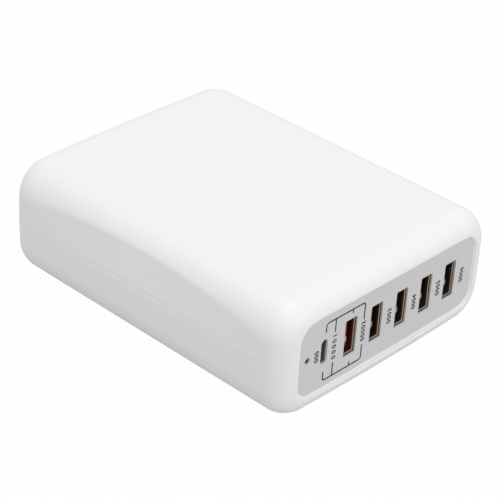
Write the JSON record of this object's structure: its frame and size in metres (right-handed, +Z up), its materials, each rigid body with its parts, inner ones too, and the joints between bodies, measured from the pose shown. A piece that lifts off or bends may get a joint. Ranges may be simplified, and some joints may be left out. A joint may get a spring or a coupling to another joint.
{
  "type": "multi-port USB desktop charger",
  "caption": "Flat white desktop charger with rounded edges, a grey front panel of upright USB ports and a figure-eight mains inlet at the back.",
  "frame": {"origin": "on the table, under the middle of the housing", "axes": "+Z up, ports face -Y, mains inlet faces +Y, +X to the right when the ports are seen from the front"},
  "size_m": [0.096, 0.1208, 0.0406],
  "materials": {
    "white_housing": "satin moulded",
    "grey_panel": "matt moulded, printed",
    "receptacle_steel": "nickel plated",
    "orange_plastic": "moulded",
    "black_plastic": "moulded",
    "gold_contacts": "gold plated",
    "pin_brass": "nickel plated",
    "clear_acrylic": "clear, polished",
    "foot_rubber": "matt",
    "screw_steel": "zinc plated",
    "board": "solder mask",
    "lamp": "clear",
    "component_black": "moulded",
    "dipped_blue": "dipped",
    "film_yellow": "moulded",
    "can_sleeve": "sleeved",
    "ferrite": "sintered",
    "copper_wire": "enamelled",
    "winding_tape": "taped",
    "sink_aluminium": "extruded"
  },
  "bodies": {
    "root": {"top_cover": "white_housing", "bottom_cover": "white_housing", "port_panel": "grey_panel", "usb_a_shell_1": "receptacle_steel", "usb_a_shell_2": "receptacle_steel", "usb_a_shell_3": "receptacle_steel", "usb_a_shell_4": "receptacle_steel", "usb_a_shell_5": "receptacle_steel", "usb_c_shell": "receptacle_steel", "usb_a_tongue_1": "orange_plastic", "usb_a_tongue_2": "black_plastic", "usb_a_tongue_3": "black_plastic", "usb_a_tongue_4": "black_plastic", "usb_a_tongue_5": "black_plastic", "usb_c_tongue": "black_plastic", "inlet_body": "black_plastic", "usb_a_contacts_1": "gold_contacts", "usb_a_contacts_2": "gold_contacts", "usb_a_contacts_3": "gold_contacts", "usb_a_contacts_4": "gold_contacts", "usb_a_contacts_5": "gold_contacts", "usb_c_contacts": "gold_contacts", "inlet_pins": "pin_brass", "light_pipe": "clear_acrylic", "rubber_feet": "foot_rubber", "board_screws": "screw_steel", "main_board": "board", "port_board": "board", "status_led": "lamp", "fuse": "component_black", "bridge_rectifier": "component_black", "switch_transistor": "component_black", "output_rectifier": "component_black", "optocoupler": "component_black", "port_controllers": "component_black", "buck_inductors": "component_black", "transformer_bobbin": "component_black", "varistor": "dipped_blue", "safety_capacitor": "dipped_blue", "film_capacitor": "film_yellow", "bulk_capacitors": "can_sleeve", "output_capacitors": "can_sleeve", "choke_core": "ferrite", "transformer_core": "ferrite", "choke_windings": "copper_wire", "transformer_winding": "winding_tape", "switch_heat_sink": "sink_aluminium", "output_heat_sink": "sink_aluminium"}
  },
  "joints": []
}
